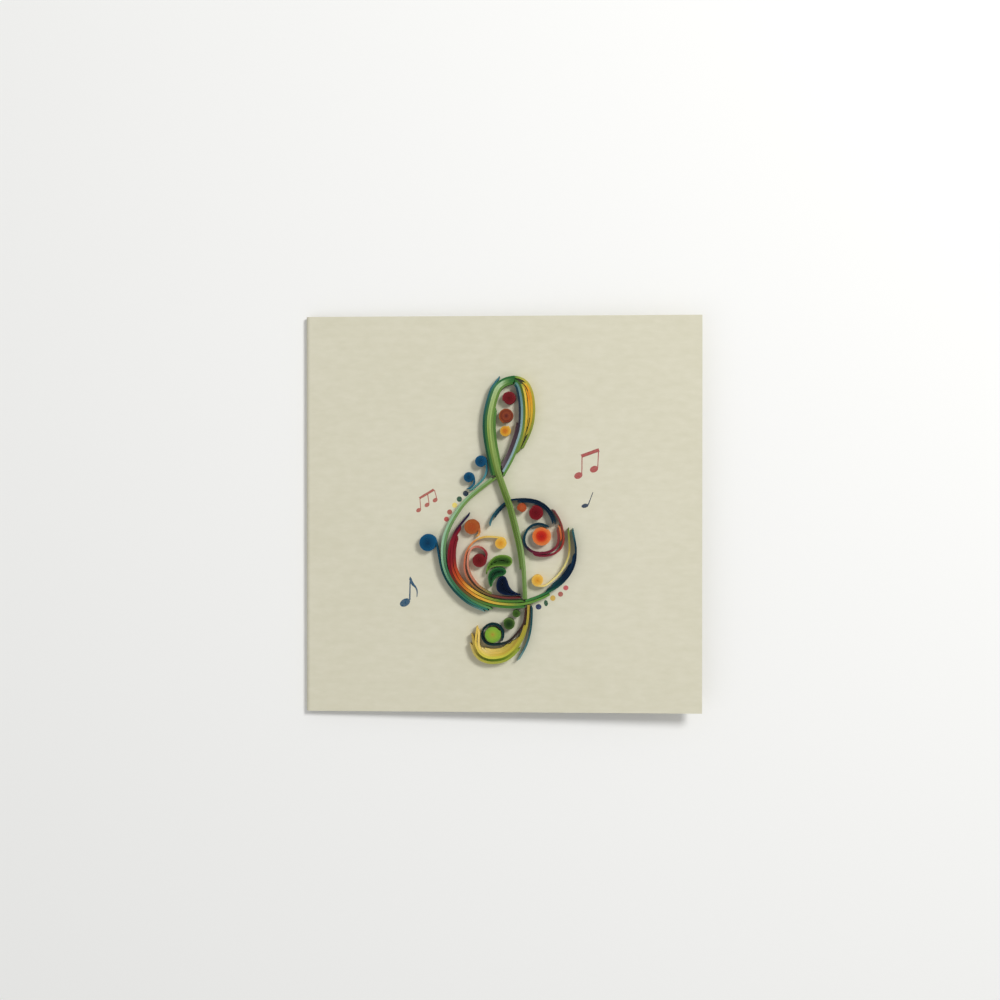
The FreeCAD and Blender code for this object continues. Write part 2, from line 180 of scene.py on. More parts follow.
def quilling_paper(name, stops):
    """Dyed uncoated paper: matte, with the fine fleck of fibres at a cut edge.

    stops are places along the strip, 0 to 1, with the colour there: the paper's own, darkened by
    painted shade towards a roll's middle, and lightened by a painted highlight in the stem's pale
    stops.
    """
    paper = new_material(name)
    along = add(paper, "ShaderNodeSeparateXYZ", inputs={
        "Vector": add(paper, "ShaderNodeTexCoord").outputs["UV"]}).outputs["X"]
    where = add(paper, "ShaderNodeTexCoord").outputs["Object"]
    dyed = ramp(paper, along, stops)
    fibres = add(paper, "ShaderNodeTexNoise", inputs={
        "Vector": where, "Scale": 1.0 / (PAPER_FIBRE_MM * MM), "Detail": 3.0,
        "Roughness": 0.6}).outputs["Fac"]
    value = add(paper, "ShaderNodeMapRange", inputs={
        "Value": fibres, "From Min": 0.3, "From Max": 0.7,
        "To Min": 1.0 - 2.0 * PAPER_FLECK, "To Max": 1.0 + PAPER_FLECK}).outputs["Result"]
    colour = add(paper, "ShaderNodeHueSaturation", inputs={
        "Color": dyed, "Value": value}).outputs["Color"]
    bump = add(paper, "ShaderNodeBump", inputs={
        "Height": fibres, "Strength": 0.3, "Distance": 0.03 * MM}).outputs["Normal"]
    return output(paper, add(paper, "ShaderNodeBsdfPrincipled", inputs={
        "Base Color": colour, "Roughness": PAPER_ROUGHNESS, "Specular IOR Level": 0.1,
        "Normal": bump}))


TOP_FACE_MM = 0.1              # faces within this of a node's top are its top


def flat_outline(node_name):
    """The outer outline of a CAD node's top on the leaf, in millimetres and in order."""
    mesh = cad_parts[node_name].data
    flat = [leaf_flat @ v.co for v in mesh.vertices]
    top = max(p.z for p in flat)
    places = {}
    edges = set()
    for triangle in mesh.polygons:
        corners = [flat[i] for i in triangle.vertices]
        if min(c.z for c in corners) < top - TOP_FACE_MM * MM:
            continue
        keys = []
        for corner in corners:
            key = (round(corner.x / MM, 3), round(corner.y / MM, 3))
            places[key] = Vector((corner.x / MM, corner.y / MM, 0.0))
            keys.append(key)
        for start, end in zip(keys, keys[1:] + keys[:1]):
            if (end, start) in edges:
                edges.remove((end, start))
            else:
                edges.add((start, end))
    following = dict(edges)
    outer = []
    widest = 0.0
    while following:
        start, here = following.popitem()
        outline = [start]
        while here != start:
            outline.append(here)
            here = following.pop(here)
        across = [key[0] for key in outline]
        if max(across) - min(across) > widest:
            widest = max(across) - min(across)
            outer = outline
    return [places[key] for key in outer], top


STARTS = {"top": (0.0, -1.0), "bottom": (0.0, 1.0), "left": (1.0, 0.0)}


def centre_line(node_name, begins="top"):
    """The middle of a CAD strip from one end to the other, its thickness and its height.

    begins says which end comes first. The outline runs along one side and back along the
    other, so its ends are where places on the two sides pair off at one distance.
    """
    outline, top = flat_outline(node_name)
    half = len(outline) // 2

    def widest_pair(shift):
        return max((outline[(shift + i) % len(outline)]
                    - outline[(shift - 1 - i) % len(outline)]).length for i in range(half))

    shift = min(range(half), key=widest_pair)
    pairs = [(outline[(shift + i) % len(outline)], outline[(shift - 1 - i) % len(outline)])
             for i in range(half)]
    middle = [(a + b) / 2 for a, b in pairs]
    across, up = STARTS[begins]
    if middle[0].x * across + middle[0].y * up > middle[-1].x * across + middle[-1].y * up:
        middle = middle[::-1]
    return middle, (pairs[0][0] - pairs[0][1]).length, top


def moved_aside(points, distance, spread):
    """The same line, moved to its left by a distance times the spread there.

    spread holds a factor for the line's start, its middle and its end.
    """
    moved = []
    for number, here in enumerate(points):
        after = points[min(number + 1, len(points) - 1)]
        before = points[max(number - 1, 0)]
        way = (after - before).normalized()
        share = number / (len(points) - 1)
        ends = spread[0] + (spread[2] - spread[0]) * share
        bulge = 4.0 * share * (1.0 - share) * (spread[1] - (spread[0] + spread[2]) / 2)
        moved.append(here + Vector((-way.y, way.x, 0.0)) * distance * (ends + bulge))
    return moved


def shortened(points, first, last):
    """The line without its first and last few millimetres."""
    def cut(line, amount):
        line = list(line)
        while amount > 0 and len(line) > 2:
            step = (line[1] - line[0]).length
            if step > amount:
                line[0] = line[0] + (line[1] - line[0]) * (amount / step)
                return line
            amount -= step
            line.pop(0)
        return line
    return cut(cut(points, first)[::-1], last)[::-1]


SMOOTH_BELOW_DEGREES = 40


def paper_on_edge(name, points, thickness, height, fineness, closed=False):
    """One strip of paper stood on edge along points, which are in millimetres.

    height is in metres, and fineness is the number of steps from point to point.
    """
    bpy.ops.object.select_all(action="DESELECT")
    bpy.ops.curve.primitive_nurbs_path_add()
    paper = bpy.context.object
    paper.name = name
    curve = paper.data
    curve.splines.clear()
    line = curve.splines.new("NURBS")
    line.points.add(len(points) - 1)
    for point, place in zip(line.points, points):
        point.co = (place.x * MM, place.y * MM, 0.0, 1.0)
    line.order_u = 3
    line.use_endpoint_u = not closed
    line.use_cyclic_u = closed
    line.resolution_u = fineness
    curve.twist_mode = "Z_UP"
    curve.extrude = height / 2
    bpy.ops.object.convert(target="MESH")
    thicken = paper.modifiers.new("paper", "SOLIDIFY")
    thicken.thickness = thickness * MM
    thicken.offset = 0.0
    bpy.ops.object.modifier_apply(modifier=thicken.name)
    paper.data.transform(Matrix.Translation((0.0, 0.0, height / 2)))
    bpy.ops.object.shade_smooth_by_angle(angle=math.radians(SMOOTH_BELOW_DEGREES))
    return paper


def joined(name, papers):
    """The papers as one piece of that name."""
    bpy.ops.object.select_all(action="DESELECT")
    for paper in papers:
        paper.select_set(True)
    bpy.context.view_layer.objects.active = papers[0]
    bpy.ops.object.join()
    papers[0].name = name
    return papers[0]


def standing_in(piece, node_name):
    """Puts the piece on the leaf in place of a CAD node, and hides that node."""
    on_leaf(piece)
    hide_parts(node_name)


STAGGER_MM = (0.0, 0.4, 0.9)   # a band tapers to its longest paper at its ends
EDGE_DROP_MM = (0.0, 0.12, 0.05)
PAPER_FILL = 0.96              # how much of its place in the band a paper takes up
SNUG = (1.1, 1.1, 1.1)         # a band's papers spring a little apart
LOOSE = (1.1, 1.22, 1.1)       # and more where the bands round it fan out
FANNED = (1.08, 1.38, 1.08)
BUTT_MM = 0.3                  # how far a butting end closes up on what it meets


def run_on(points, amount):
    """The line, carried on past its end in the curve that it ends in."""
    line = list(points)
    step = (line[-1] - line[-2]).length
    turn = (line[-2] - line[-3]).xy.angle_signed((line[-1] - line[-2]).xy)
    while amount > 0:
        way = (line[-1] - line[-2]).normalized()
        way.rotate(Matrix.Rotation(-turn, 3, "Z"))
        line.append(line[-1] + way * min(step, amount))
        amount -= step
    return line


def glued_band(node_name, stops, begins="top", spread=SNUG, butts="", longer=0.0):
    """A band of three papers along the CAD strip, coloured from the end it begins at.

    butts names its first end, its last or both, which are cut square where they butt on
    other bands. longer is how far its middle paper runs on at both ends.
    """
    middle, thickness, top = centre_line(node_name, begins)
    if butts in ("first", "both"):
        middle = run_on(middle[::-1], BUTT_MM)[::-1]
    if butts in ("last", "both"):
        middle = run_on(middle, BUTT_MM)
    each = thickness * max(spread) / STRIP_PAPERS
    papers = []
    for number in range(STRIP_PAPERS):
        aside = (number - (STRIP_PAPERS - 1) / 2) * thickness / STRIP_PAPERS
        cut = STAGGER_MM[number]
        line = shortened(moved_aside(middle, aside, spread),
                         0.0 if butts in ("first", "both") else cut,
                         0.0 if butts in ("last", "both") else cut)
        if longer and number == 1:
            line = run_on(run_on(line, longer)[::-1], longer)[::-1]
        drop = EDGE_DROP_MM[number] * MM
        papers.append(paper_on_edge(f"{node_name}_paper_{number}", line, each * PAPER_FILL,
                                    top - drop, fineness=4))
    band = joined(node_name + "_band", papers)
    band.data.materials.append(quilling_paper(node_name + "_paper", stops))
    standing_in(band, node_name)


# The stem and the left side of the top loop: teal and dark green outside, the three
# strips that run on down as the stem, and one short olive strip inside. They are bands
# of dyed paper, curved between the fingers and glued to the leaf along their lower edge.

glued_band("loop_teal_strip",
           [(0.0, "#44787E"), (0.2, "#34686A"), (0.5, "#285648"), (0.8, "#264E38"),
            (1.0, "#33623C")], butts="last")
glued_band("loop_dark_green_strip",
           [(0.0, "#2A6632"), (0.2, "#34703E"), (0.4, "#4A7E56"), (0.6, "#3C6C46"),
            (0.8, "#42743C"), (1.0, "#4A7636")], butts="both")
# The pale stops at 0.2 and 0.36 here are a painted highlight on the loop's left side, laid over the
# paper's own green.
glued_band("stem_olive_strip",
           [(0.0, "#2F6634"), (0.07, "#3E7440"), (0.13, "#6A9656"), (0.2, "#AECBA0"),
            (0.36, "#AEC68C"), (0.55, "#94AC58"), (0.72, "#5E7834"),
            (1.0, "#5A7436")], butts="first")
# Its pale stops at 0.2 and 0.36 hold the same painted highlight over the paper's own light green.
glued_band("stem_light_green_strip",
           [(0.0, "#316A32"), (0.07, "#44793F"), (0.13, "#7CA262"), (0.2, "#B6CEA2"),
            (0.36, "#A8C07A"), (0.55, "#A0B868"), (0.72, "#647E38"), (0.88, "#6C8846"),
            (1.0, "#668444")], butts="both")
glued_band("stem_green_strip",
           [(0.0, "#386E30"), (0.15, "#668C48"), (0.35, "#6C8E42"), (0.58, "#8AA65A"),
            (0.75, "#7C9850"), (0.88, "#90AC6E"), (1.0, "#6E8E4C")], butts="both")
glued_band("loop_inner_olive_strip", [(0.0, "#5E8A44"), (0.5, "#557E3C"), (1.0, "#5F863C")])

# The right side of the top loop: eight bands of dyed paper fanned out, cool colours
# inside and warm ones outside. They are glued together where they close up at the ends,
# and spring apart between.

glued_band("loop_maroon_strip",
           [(0.0, "#4A343A"), (0.4, "#54424A"), (1.0, "#74686C")], butts="last")
glued_band("loop_navy_strip",
           [(0.0, "#2E6648"), (0.12, "#22444E"), (0.4, "#2A3440"), (0.65, "#42363E"),
            (1.0, "#5E5458")], spread=LOOSE, butts="both")
glued_band("loop_grey_blue_strip",
           [(0.0, "#3E7A4C"), (0.1, "#5E8E84"), (0.4, "#6E9496"), (0.65, "#8CAAAC"),
            (1.0, "#94AEB0")], spread=LOOSE, butts="both")
glued_band("loop_moss_strip",
           [(0.0, "#2F6E34"), (0.15, "#4A6E34"), (0.4, "#556A2C"), (0.7, "#6E8C48"),
            (1.0, "#5E8E44")], spread=LOOSE, butts="both")
glued_band("loop_yellow_strip",
           [(0.0, "#7A9A44"), (0.1, "#DCC450"), (0.4, "#E8BE40"), (0.6, "#D8B43C"),
            (0.8, "#98963C"), (1.0, "#6E883A")], spread=LOOSE)
glued_band("loop_orange_strip",
           [(0.0, "#E0A838"), (0.3, "#DE8C2C"), (0.6, "#E0A636"), (1.0, "#A0943A")],
           spread=LOOSE, longer=3.0)
glued_band("loop_gold_strip",
           [(0.0, "#C4B848"), (0.15, "#E4B63A"), (0.4, "#E09C30"), (0.65, "#DCB038"),
            (1.0, "#98943A")], spread=LOOSE)
glued_band("loop_lime_strip",
           [(0.0, "#4A823A"), (0.1, "#94A446"), (0.25, "#C0B44E"), (0.55, "#B4AA44"),
            (0.8, "#8E943C"), (1.0, "#6E863A")], spread=LOOSE, butts="first")

# The rolls: one strip of paper wound tight on a slotted tool and glued at its end.
# Wound turns show as fine rings; a few blend two or three papers of different colour.
# Most are painted darker towards the eye, as painted shade in the roll's middle.

WOUND_TURN_MM = 0.44          # paper and the air beside it, coarser than real so it shows
WOUND_PAPER_MM = 0.4
ROLL_EYE_MM = 0.07
CROWN_MM = 0.25               # a roll's middle stands a little proud of its rim
STEPS_A_TURN = 18
RIM_SLACK_MM = 0.03


def wound_roll(node_name, centre, radius, stops, tail_stops=None):
    """A finely wound roll in the form of the CAD one, with the CAD strip's tail. Its stops run from
    the eye to the rim, darker towards the eye as painted shade.
    """
    centre = Vector((centre[0], centre[1], 0.0))
    middle, thickness, top = centre_line(node_name)
    if (middle[0] - centre).length > (middle[-1] - centre).length:
        middle = middle[::-1]
    rim_at = len(middle) - 1
    if tail_stops:
        rim_at = next(i for i in range(len(middle) - 1)
                      if (middle[i + 1] - centre).length > radius - thickness / 2 + RIM_SLACK_MM)
    out = middle[rim_at] - centre
    before = middle[rim_at - 1] - centre
    sense = 1 if before.x * out.y - before.y * out.x > 0 else -1
    start = math.atan2(out.y, out.x)
    reach = radius - WOUND_PAPER_MM / 2
    turns = (reach - ROLL_EYE_MM) / WOUND_TURN_MM
    steps = int(turns * STEPS_A_TURN)
    spiral = []
    for step in range(steps + 1):
        share = step / steps
        angle = start - sense * (1.0 - share) * turns * 2.0 * math.pi
        at = ROLL_EYE_MM + (reach - ROLL_EYE_MM) * share
        spiral.append(centre + Vector((math.cos(angle), math.sin(angle), 0.0)) * at)
    wound = paper_on_edge(node_name + "_wound", spiral, WOUND_PAPER_MM,
                          top - CROWN_MM * MM, fineness=2)
    for vertex in wound.data.vertices:
        if vertex.co.z > top / 2:
            away = (Vector((vertex.co.x / MM, vertex.co.y / MM, 0.0)) - centre).length
            vertex.co.z += CROWN_MM * MM * (1.0 - min(1.0, away / radius) ** 2)
    # the roll's colours darken towards the eye: painted shade in its middle
    wound.data.materials.append(quilling_paper(node_name + "_roll_paper_and_shade", stops))
    pieces = [wound]
    if tail_stops:
        tail_paper = quilling_paper(node_name + "_tail_paper", tail_stops)
        each = thickness * max(SNUG) / STRIP_PAPERS
        for number in range(STRIP_PAPERS):
            aside = (number - (STRIP_PAPERS - 1) / 2) * thickness / STRIP_PAPERS
            line = shortened(moved_aside(middle[rim_at:], aside, SNUG),
                             0.0, STAGGER_MM[number])
            tail = paper_on_edge(f"{node_name}_tail_{number}", line, each * PAPER_FILL,
                                 top - EDGE_DROP_MM[number] * MM, fineness=4)
            tail.data.materials.append(tail_paper)
            pieces.append(tail)
    standing_in(joined(node_name + "_wound", pieces), node_name)


wound_roll("loop_crimson_roll", (2.5, 43.7), 2.7,
           [(0.0, "#61171A"), (0.5, "#6D1C20"), (0.85, "#712025"), (1.0, "#7D2C31")])
wound_roll("loop_brown_roll", (1.4, 37.05), 2.95,
           [(0.0, "#5D2A23"), (0.25, "#79382A"), (0.5, "#8D452A"), (0.7, "#6F3123"),
            (0.9, "#823F28"), (1.0, "#9E5429")])
wound_roll("loop_amber_roll", (0.95, 31.4), 2.25,
           [(0.0, "#C16E28"), (0.4, "#CA7E29"), (0.7, "#D19731"), (1.0, "#D5A643")])
wound_roll("upper_blue_roll", (-8.25, 19.9), 2.4,
           [(0.0, "#0F3A56"), (0.6, "#12486A"), (1.0, "#175274")],
           [(0.0, "#1F5A6C"), (0.35, "#4A8A92"), (1.0, "#4C8A86")])
wound_roll("lower_blue_roll", (-12.75, 13.9), 2.15,
           [(0.0, "#0F3A56"), (0.6, "#13496A"), (1.0, "#195474")],
           [(0.0, "#1C5470"), (1.0, "#2F6E84")])

# The left bowl: the blue roll's strip comes down round it outside a mint and a green one.
# Three crimson strips lie inside those and turn orange and yellow towards the stem. In
# the bowl stand three rolls whose strips run out as arms. All are glued on their edges.

CRIMSON = "#84202C"
wound_roll("bowl_blue_roll", (-28.2, -10.8), 3.5,
           [(0.0, "#0D3552"), (0.5, "#0F4566"), (1.0, "#155478")],
           [(0.0, "#1A4A62"), (0.2, "#1F4A4E"), (0.5, "#1C4444"), (0.8, "#2E5E5C"),
            (1.0, "#688C86")])
glued_band("bowl_mint_strip",
           [(0.0, "#7A9C60"), (0.2, "#94B88C"), (0.45, "#9EC6A6"), (0.62, "#78A884"),
            (0.8, "#33705A"), (1.0, "#3A7A68")], spread=LOOSE, butts="first")
glued_band("bowl_green_strip",
           [(0.0, "#6A8A42"), (0.2, "#769654"), (0.45, "#6C9664"), (0.6, "#447452"),
            (0.8, "#3C744E"), (1.0, "#6A9A5A")], spread=LOOSE, butts="first")
glued_band("bowl_crimson_outer_strip",
           [(0.0, "#1E2440"), (0.07, "#4A1A2C"), (0.16, CRIMSON), (0.36, "#7A1C26"),
            (0.5, "#6A3A28"), (0.62, "#6E5A30"), (0.76, "#4E7C38"), (1.0, "#3C7434")],
           spread=FANNED, butts="last")
glued_band("bowl_crimson_middle_strip",
           [(0.0, "#7A1A28"), (0.14, CRIMSON), (0.24, "#8E282A"), (0.34, "#B84A2A"),
            (0.44, "#C2662A"), (0.56, "#E2AC42"), (0.68, "#C8B048"), (0.78, "#6E9440"),
            (1.0, "#5C8E40")], spread=FANNED, butts="last")
glued_band("bowl_crimson_inner_strip",
           [(0.0, "#7A1E28"), (0.18, "#84242A"), (0.32, "#B8482A"), (0.46, "#C06428"),
            (0.6, "#E8B44A"), (0.74, "#9C9C40"), (0.86, "#5A8636"), (1.0, "#4E7A34")],
           spread=FANNED)
wound_roll("bowl_orange_roll", (-11.6, -4.8), 3.1,
           [(0.0, "#AB4F27"), (0.4, "#A24C25"), (0.8, "#A7582A"), (1.0, "#9E532A")],
           [(0.0, "#B8683A"), (1.0, "#D8A04C")])
wound_roll("bowl_yellow_roll", (-0.8, -10.9), 2.4,
           [(0.0, "#D8902E"), (0.45, "#DCA03A"), (1.0, "#E4B850")],
           [(0.0, "#E6C868"), (0.12, "#D8B058"), (0.22, "#D89050"), (0.4, "#C8704E"),
            (0.52, "#C2745A"), (0.64, "#A86A44"), (0.78, "#7C6A3C"), (0.88, "#7A4038"),
            (1.0, "#6A2A30")])
wound_roll("bowl_crimson_roll", (-8.8, -17.3), 2.8,
           [(0.0, "#63171A"), (0.6, "#6F1C1E"), (1.0, "#7B272A")],
           [(0.0, "#8E2C36"), (0.2, "#9A3C40"), (0.38, "#C87864"), (0.6, "#D8967C"),
            (0.85, "#C4785E"), (1.0, "#7A8446")])

# The three pinched rolls beside the stem: each a roll let loose, then pinched to a point,
# so its turns lie close along its rim. The turns are painted darker towards the middle,
# as painted shade inside the roll, so the outer turn shows the lightest colour.

PINCHED_TURN_MM = 0.5
PINCHED_PAPER_MM = 0.4
RIM_STEP_MM = 0.3
CROWDED_MM = 0.06             # how much nearer than its inset a turn may come to the rim
LEAST_PLACES = 7              # a turn with fewer would fold up in the middle
TURN_DROP_MM = 0.06           # every second turn lies this much lower


def smooth_round(outline, step):
    """Evenly spaced places round a closed outline."""
    around = outline + outline[:1]
    spaced = []
    carried = 0.0
    for start, end in zip(around, around[1:]):
        length = (end - start).length
        while carried < length:
            spaced.append(start.lerp(end, carried / length))
            carried += step
        carried -= length
    return spaced


def drawn_in(outline, inset):
    """The outline moved inwards, without the places that come too near its far side."""
    count = len(outline)
    twice_area = sum(outline[i].x * outline[(i + 1) % count].y
                     - outline[(i + 1) % count].x * outline[i].y for i in range(count))
    side = 1.0 if twice_area > 0 else -1.0
    kept = []
    for number, here in enumerate(outline):
        way = (outline[(number + 1) % count] - outline[number - 1]).normalized()
        place = here + Vector((-way.y, way.x, 0.0)) * side * inset
        if min((place - other).length for other in outline) > inset - CROWDED_MM:
            kept.append(place)
    return kept


def pinched_roll(node_name, colours):
    """A pinched roll whose turns follow the CAD rim inwards, coloured from the rim, with painted
    shade darkening the inner turns.
    """
    outline, top = flat_outline(node_name)
    outline = smooth_round(outline, RIM_STEP_MM)
    turns = []
    inset = PINCHED_PAPER_MM / 2
    while True:
        line = drawn_in(outline, inset)
        if len(line) < LEAST_PLACES:
            break
        turn = paper_on_edge(f"{node_name}_turn_{len(turns)}", line[::2], PINCHED_PAPER_MM,
                             top - TURN_DROP_MM * MM * (len(turns) % 2),
                             fineness=3, closed=True)
        # inner turns take darker colours: painted shade inside the roll
        colour = colours[min(len(turns), len(colours) - 1)]
        turn.data.materials.append(quilling_paper(f"{node_name}_{len(turns)}", [(0.0, colour)]))
        turns.append(turn)
        inset += PINCHED_TURN_MM
    standing_in(joined(node_name + "_turns", turns), node_name)


pinched_roll("green_teardrop", ("#6A9038", "#4E742A", "#365820", "#2E4C1C"))
pinched_roll("dark_green_teardrop", ("#2F6A34", "#1F4E2C", "#173E26"))
pinched_roll("navy_teardrop", ("#10203C", "#0A1730", "#091428"))

# The arc across the stem, in navy paper, with a teal tail on its left. On its right end
# hangs a ring of one strip that turns from teal to crimson, with a roll glued inside it
# and two rolls above it. A maroon and an orange strip lie outside the ring.

RING_SPREAD = (1.25, 1.4, 1.1)  # the ring's papers stand further apart than a band's
glued_band("arc_tail_strip",
           [(0.0, "#4A7C84"), (0.3, "#2C5C68"), (0.65, "#183C48"), (1.0, "#10283A")],
           "bottom", butts="last")
glued_band("arc_tail_inner_strip",
           [(0.0, "#1C404C"), (0.5, "#122C3A"), (1.0, "#0F2230")], "bottom")
glued_band("arc_navy_strip",
           [(0.0, "#10283A"), (0.3, "#0A1C30"), (0.75, "#0C2030"), (1.0, "#183440")],
           "left", LOOSE, butts="first")
glued_band("arc_inner_strip",
           [(0.0, "#10263A"), (0.5, "#0C1E30"), (1.0, "#18303E")], "left", LOOSE)
glued_band("ring_teal_strip",
           [(0.0, "#163A46"), (0.12, "#0F2C38"), (0.3, "#143E4A"), (0.42, "#143440"),
            (0.52, "#242232"), (0.62, "#662234"), (0.8, "#7A2634"), (1.0, "#8C463E")],
           "left", RING_SPREAD)
glued_band("arc_maroon_strip",
           [(0.0, "#6E3A3C"), (0.25, "#9A4434"), (0.5, "#94302E"), (0.75, "#7E2434"),
            (1.0, "#6E2034")])
glued_band("arc_orange_strip", [(0.0, "#D47A4A"), (1.0, "#B4502E")])
wound_roll("ring_red_roll", (14.6, -8.2), 3.75,
           [(0.0, "#A9221C"), (0.35, "#BC291C"), (0.52, "#C7381E"), (0.66, "#D86431"),
            (1.0, "#DC8044")])
wound_roll("arc_crimson_roll", (12.5, 0.55), 2.95,
           [(0.0, "#601118"), (0.7, "#71171F"), (1.0, "#7A1F26")])
wound_roll("arc_orange_roll", (7.3, 2.45), 1.95,
           [(0.0, "#B55A34"), (0.5, "#A74E2A"), (1.0, "#A04726")])

# The right bowl: three navy strips, green where they come out from under the stem and
# glued together thickest at the middle. The pale arm of a small yellow roll runs inside
# them.

NAVY = "#0E2238"
glued_band("bowl_navy_outer_strip",
           [(0.0, "#4E8A3C"), (0.16, "#3A7A44"), (0.3, "#1A4A44"), (0.42, "#10283C"),
            (0.75, "#0C1C32"), (0.9, "#1A3E4C"), (1.0, "#36686C")], "left", butts="first")
glued_band("bowl_navy_middle_strip", [(0.0, "#16403E"), (0.35, NAVY), (1.0, "#14304A")], "left")
glued_band("bowl_navy_inner_strip", [(0.0, "#1C4448"), (0.5, NAVY), (1.0, NAVY)], "left")
wound_roll("bowl_small_yellow_roll", (13.2, -24.8), 2.4,
           [(0.0, "#D8922E"), (0.5, "#E0A63E"), (1.0, "#E6BC58")],
           [(0.0, "#E6CC78"), (0.25, "#E8D890"), (0.6, "#D8CC84"), (0.8, "#B8A24C"),
            (1.0, "#6E8A3E")])

# The hook: a lime roll in a ring of dark teal paper, six strips fanned round it from
# olive to cream, glued to each other where they touch, one teal tail, and two small
# green rolls between hook and bowl.

wound_roll("hook_lime_roll", (-3.7, -45.3), 3.25,
           [(0.0, "#B4943C"), (0.25, "#9AA83A"), (0.6, "#86AC38"), (1.0, "#74A03A")])
glued_band("hook_ring_strip",
           [(0.0, "#123436"), (0.3, "#0F2E32"), (0.55, "#0E2226"), (0.75, "#1A3232"),
            (0.9, "#402C26"), (1.0, "#4A3026")], "left", butts="last")
glued_band("hook_pale_olive_strip",
           [(0.0, "#C2AC64"), (0.35, "#B4AC4A"), (0.6, "#AAAC48"), (1.0, "#8EA03C")],
           "left", FANNED)
glued_band("hook_olive_strip",
           [(0.0, "#B9A04C"), (0.18, "#76702A"), (0.36, "#4E641C"), (0.55, "#647E20"),
            (0.75, "#A0A03A"), (1.0, "#B99C44")], "left", FANNED, butts="last")
glued_band("hook_yellow_strip",
           [(0.0, "#E0C05A"), (0.25, "#D8C456"), (0.5, "#D2CC4E"), (0.8, "#B9B040"),
            (1.0, "#A08E38")], "left", FANNED, butts="last")
glued_band("hook_gold_strip",
           [(0.0, "#E6C872"), (0.4, "#E8D06A"), (0.7, "#CCB048"), (1.0, "#A08A3A")], "left", FANNED)
glued_band("hook_tan_strip",
           [(0.0, "#E8D48A"), (0.5, "#DDBE5E"), (1.0, "#A89A3E")], "left", FANNED)
glued_band("hook_cream_strip",
           [(0.0, "#E6D07A"), (0.5, "#E0C468"), (1.0, "#B0A244")], "left", FANNED)
glued_band("hook_teal_tail_strip",
           [(0.0, "#24484C"), (0.4, "#2E5C60"), (0.8, "#527A7C"), (1.0, "#7A9894")])
wound_roll("hook_small_green_roll", (5.1, -37.25), 1.65,
           [(0.0, "#2E481B"), (0.6, "#3D5A23"), (1.0, "#4B6A2D")])
wound_roll("hook_large_green_roll", (2.4, -41.3), 2.4,
           [(0.0, "#1C3316"), (0.5, "#29421C"), (0.8, "#3A5624"), (1.0, "#5F783E")])

# The print: dots that run out of the bands, and four groups of notes, in ink that has
# sunk a little into the card.

INK_SKIN_MM = 0.02
INK_PATCH_MM = 0.5
SPOT_CORNERS = 40


def printed_ink(name, hex_colour):
    """Ink on uncoated card: dull, and patchy where the tooth kept it off."""
    ink = new_material(name)
    where = add(ink, "ShaderNodeTexCoord").outputs["Object"]
    patchy = add(ink, "ShaderNodeTexNoise", inputs={
        "Vector": where, "Scale": 1.0 / (INK_PATCH_MM * MM), "Detail": 3.0}).outputs["Fac"]
    cover = add(ink, "ShaderNodeMapRange", inputs={
        "Value": patchy, "From Min": 0.35, "From Max": 0.75, "To Min": 0.0,
        "To Max": 0.14}).outputs["Result"]
    colour = add(ink, "ShaderNodeMix", {"data_type": "RGBA"}, {
        0: cover, 6: linear(hex_colour), 7: linear(CARD_CREAM)}).outputs[2]
    return output(ink, add(ink, "ShaderNodeBsdfPrincipled", inputs={
        "Base Color": colour, "Roughness": 0.85, "Specular IOR Level": 0.2}))


def ink_spot(name, at, length, width=None, turn=0.0):
    """A printed round or oval spot, as a thin flat skin of ink."""
    bpy.ops.object.select_all(action="DESELECT")
    bpy.ops.mesh.primitive_circle_add(vertices=SPOT_CORNERS, radius=0.5, fill_type="NGON")
    spot = bpy.context.object
    spot.name = name
    bpy.ops.object.mode_set(mode="EDIT")
    bpy.ops.mesh.extrude_region_move(TRANSFORM_OT_translate={"value": (0.0, 0.0, INK_SKIN_MM)})
    bpy.ops.object.mode_set(mode="OBJECT")
    size = Matrix.Diagonal((length, width or length, 1.0, 1.0))
    spot.data.transform(Matrix.Scale(MM, 4) @ Matrix.Translation((at[0], at[1], 0.0))
                        @ Matrix.Rotation(math.radians(turn), 4, "Z") @ size)
    return spot


def ink_line(name, points, widths):
    """A printed line whose width changes from point to point."""
    bpy.ops.object.select_all(action="DESELECT")
    bpy.ops.curve.primitive_nurbs_path_add()
    line = bpy.context.object
    line.name = name
    curve = line.data
    curve.splines.clear()
    spline = curve.splines.new("POLY" if len(points) == 2 else "NURBS")
    spline.points.add(len(points) - 1)
    for point, place, width in zip(spline.points, points, widths):
        point.co = (place[0] * MM, place[1] * MM, 0.0, 1.0)
        point.radius = width
    spline.order_u = min(3, len(points))
    spline.use_endpoint_u = True
    spline.resolution_u = 6
    curve.twist_mode = "Z_UP"
    curve.bevel_depth = 0.5 * MM    # so a point's radius is the line's width there
    curve.bevel_resolution = 2
    curve.use_fill_caps = True
    bpy.ops.object.convert(target="MESH")
    line.data.transform(Matrix.Diagonal((1.0, 1.0, INK_SKIN_MM, 1.0)))
    return line


def printed(name, hex_colour, shapes):
    """One printed mark of one ink, lying on the leaf."""
    mark = joined(name, shapes)
    mark.data.materials.append(printed_ink(name + "_ink", hex_colour))
    on_leaf(mark)


